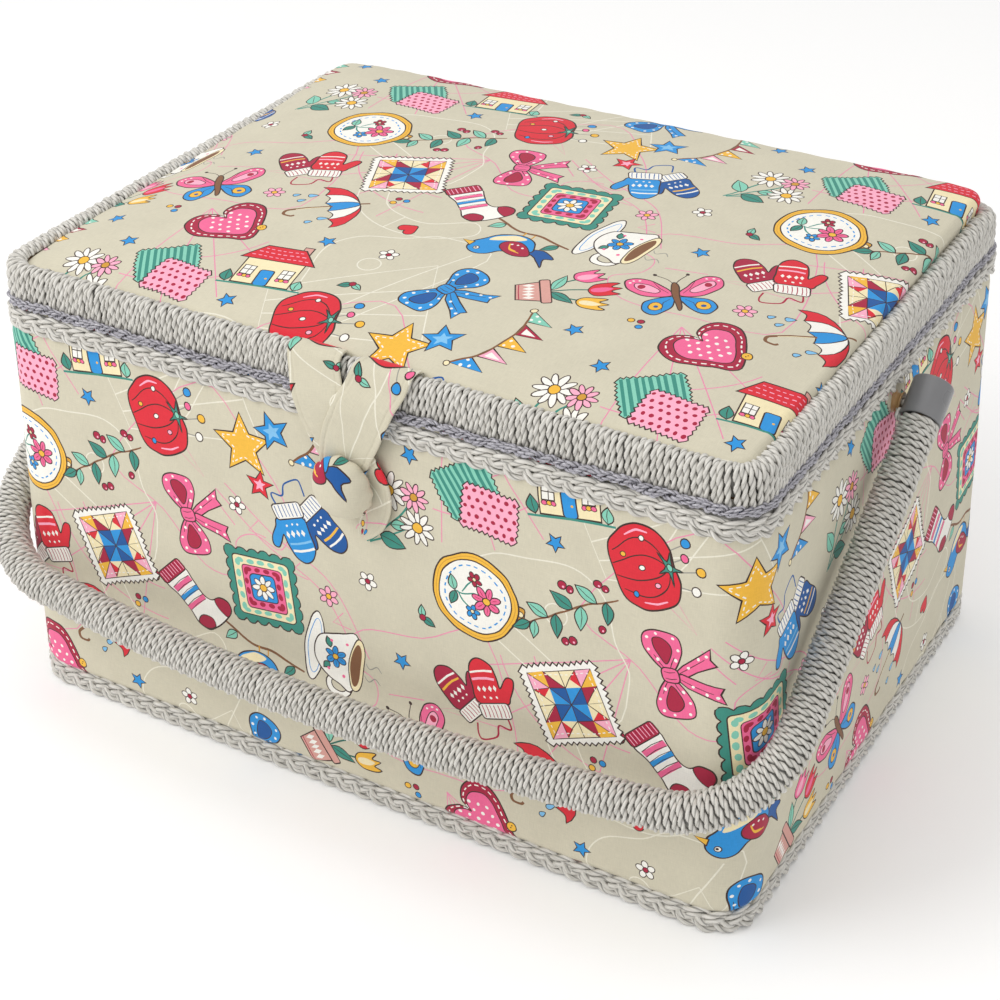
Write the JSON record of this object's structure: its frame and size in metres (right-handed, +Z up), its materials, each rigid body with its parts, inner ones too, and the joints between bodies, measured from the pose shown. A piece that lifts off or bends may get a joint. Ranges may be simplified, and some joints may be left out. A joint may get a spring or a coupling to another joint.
{
  "type": "sewing box",
  "caption": "Rectangular padded sewing box with a hinged crowned lid, rope-bound rim, swing-over bail handle, strap-and-button closure and a lift-out compartment tray.",
  "frame": {"origin": "on the surface the box stands on, under the middle of the box body", "axes": "+Z up; the front with the closure button faces -Y; +X is to the right seen from the front; the handle pivots are on the -X and +X sides"},
  "size_m": [0.4022, 0.3088, 0.2264],
  "materials": {
    "printed_cotton": "matte",
    "hardboard": "matte",
    "foam": "matte",
    "base_felt": "matte",
    "lining": "satin",
    "paper_rope": "satin",
    "dark_cord": "satin",
    "cane": "matte",
    "cap_plastic": "satin",
    "steel": "satin",
    "tray_plastic": "satin",
    "velvet": "matte",
    "ribbon": "satin"
  },
  "bodies": {
    "box": {"front_board": "hardboard", "back_board": "hardboard", "left_board": "hardboard", "right_board": "hardboard", "corner_post_front_left": "hardboard", "corner_post_front_right": "hardboard", "corner_post_back_left": "hardboard", "corner_post_back_right": "hardboard", "bottom_board": "hardboard", "tray_ledge_left": "hardboard", "tray_ledge_right": "hardboard", "body_wadding": "foam", "body_cover": "printed_cotton", "closure_button": "printed_cotton", "base_cover": "base_felt", "body_lining": "lining", "top_braid": "paper_rope", "bottom_braid": "paper_rope", "button_stem": "steel", "pivot_washer_outer_left": "steel", "pivot_washer_outer_right": "steel", "pivot_washer_inner_left": "steel", "pivot_washer_inner_right": "steel", "hinge_leaf_body_left": "steel", "hinge_leaf_body_right": "steel", "hinge_pin_left": "steel", "hinge_pin_right": "steel", "hinge_screw_body_1": "steel", "hinge_screw_body_2": "steel", "hinge_screw_body_3": "steel", "hinge_screw_body_4": "steel", "lid_stay_left": "ribbon", "lid_stay_right": "ribbon"},
    "lid": {"lid_frame": "hardboard", "rim_rope": "paper_rope", "rim_cord": "dark_cord", "lid_cover": "printed_cotton", "lid_foam": "foam", "lid_board": "hardboard", "lid_lining": "lining", "lid_pocket": "lining", "pocket_elastic": "ribbon", "pincushion": "velvet", "closure_tab": "printed_cotton", "hinge_leaf_lid_left": "steel", "hinge_leaf_lid_right": "steel", "hinge_screw_lid_1": "steel", "hinge_screw_lid_2": "steel", "hinge_screw_lid_3": "steel", "hinge_screw_lid_4": "steel"},
    "closure": {"closure_loop": "printed_cotton"},
    "handle": {"handle_rope": "paper_rope", "handle_core": "cane", "handle_cap_left": "cap_plastic", "handle_cap_right": "cap_plastic", "pivot_screw_left": "steel", "pivot_screw_right": "steel"},
    "tray": {"tray": "tray_plastic"}
  },
  "joints": [
    {"name": "lid_hinge", "type": "hinge", "parent": "box", "child": "lid", "pos_m": [0, 0.1394, 0.19705], "axis": [-1, 0, 0], "range_deg": [0, 100], "deforming": ["lid_stay_left", "lid_stay_right"]},
    {"name": "handle_swing", "type": "hinge", "parent": "box", "child": "handle", "pos_m": [0, 0.003, 0.1795], "axis": [-1, 0, 0], "range_deg": [0, 255]},
    {"name": "closure_flip", "type": "hinge", "parent": "lid", "child": "closure", "pos_m": [0.005, -0.1335, 0.2166], "axis": [-1, 0, 0], "range_deg": [0, 250], "deforming": ["closure_loop"]},
    {"name": "tray_lift", "type": "slide", "parent": "box", "child": "tray", "axis": [0, 0, 1], "range_m": [0, 0.01]}
  ]
}
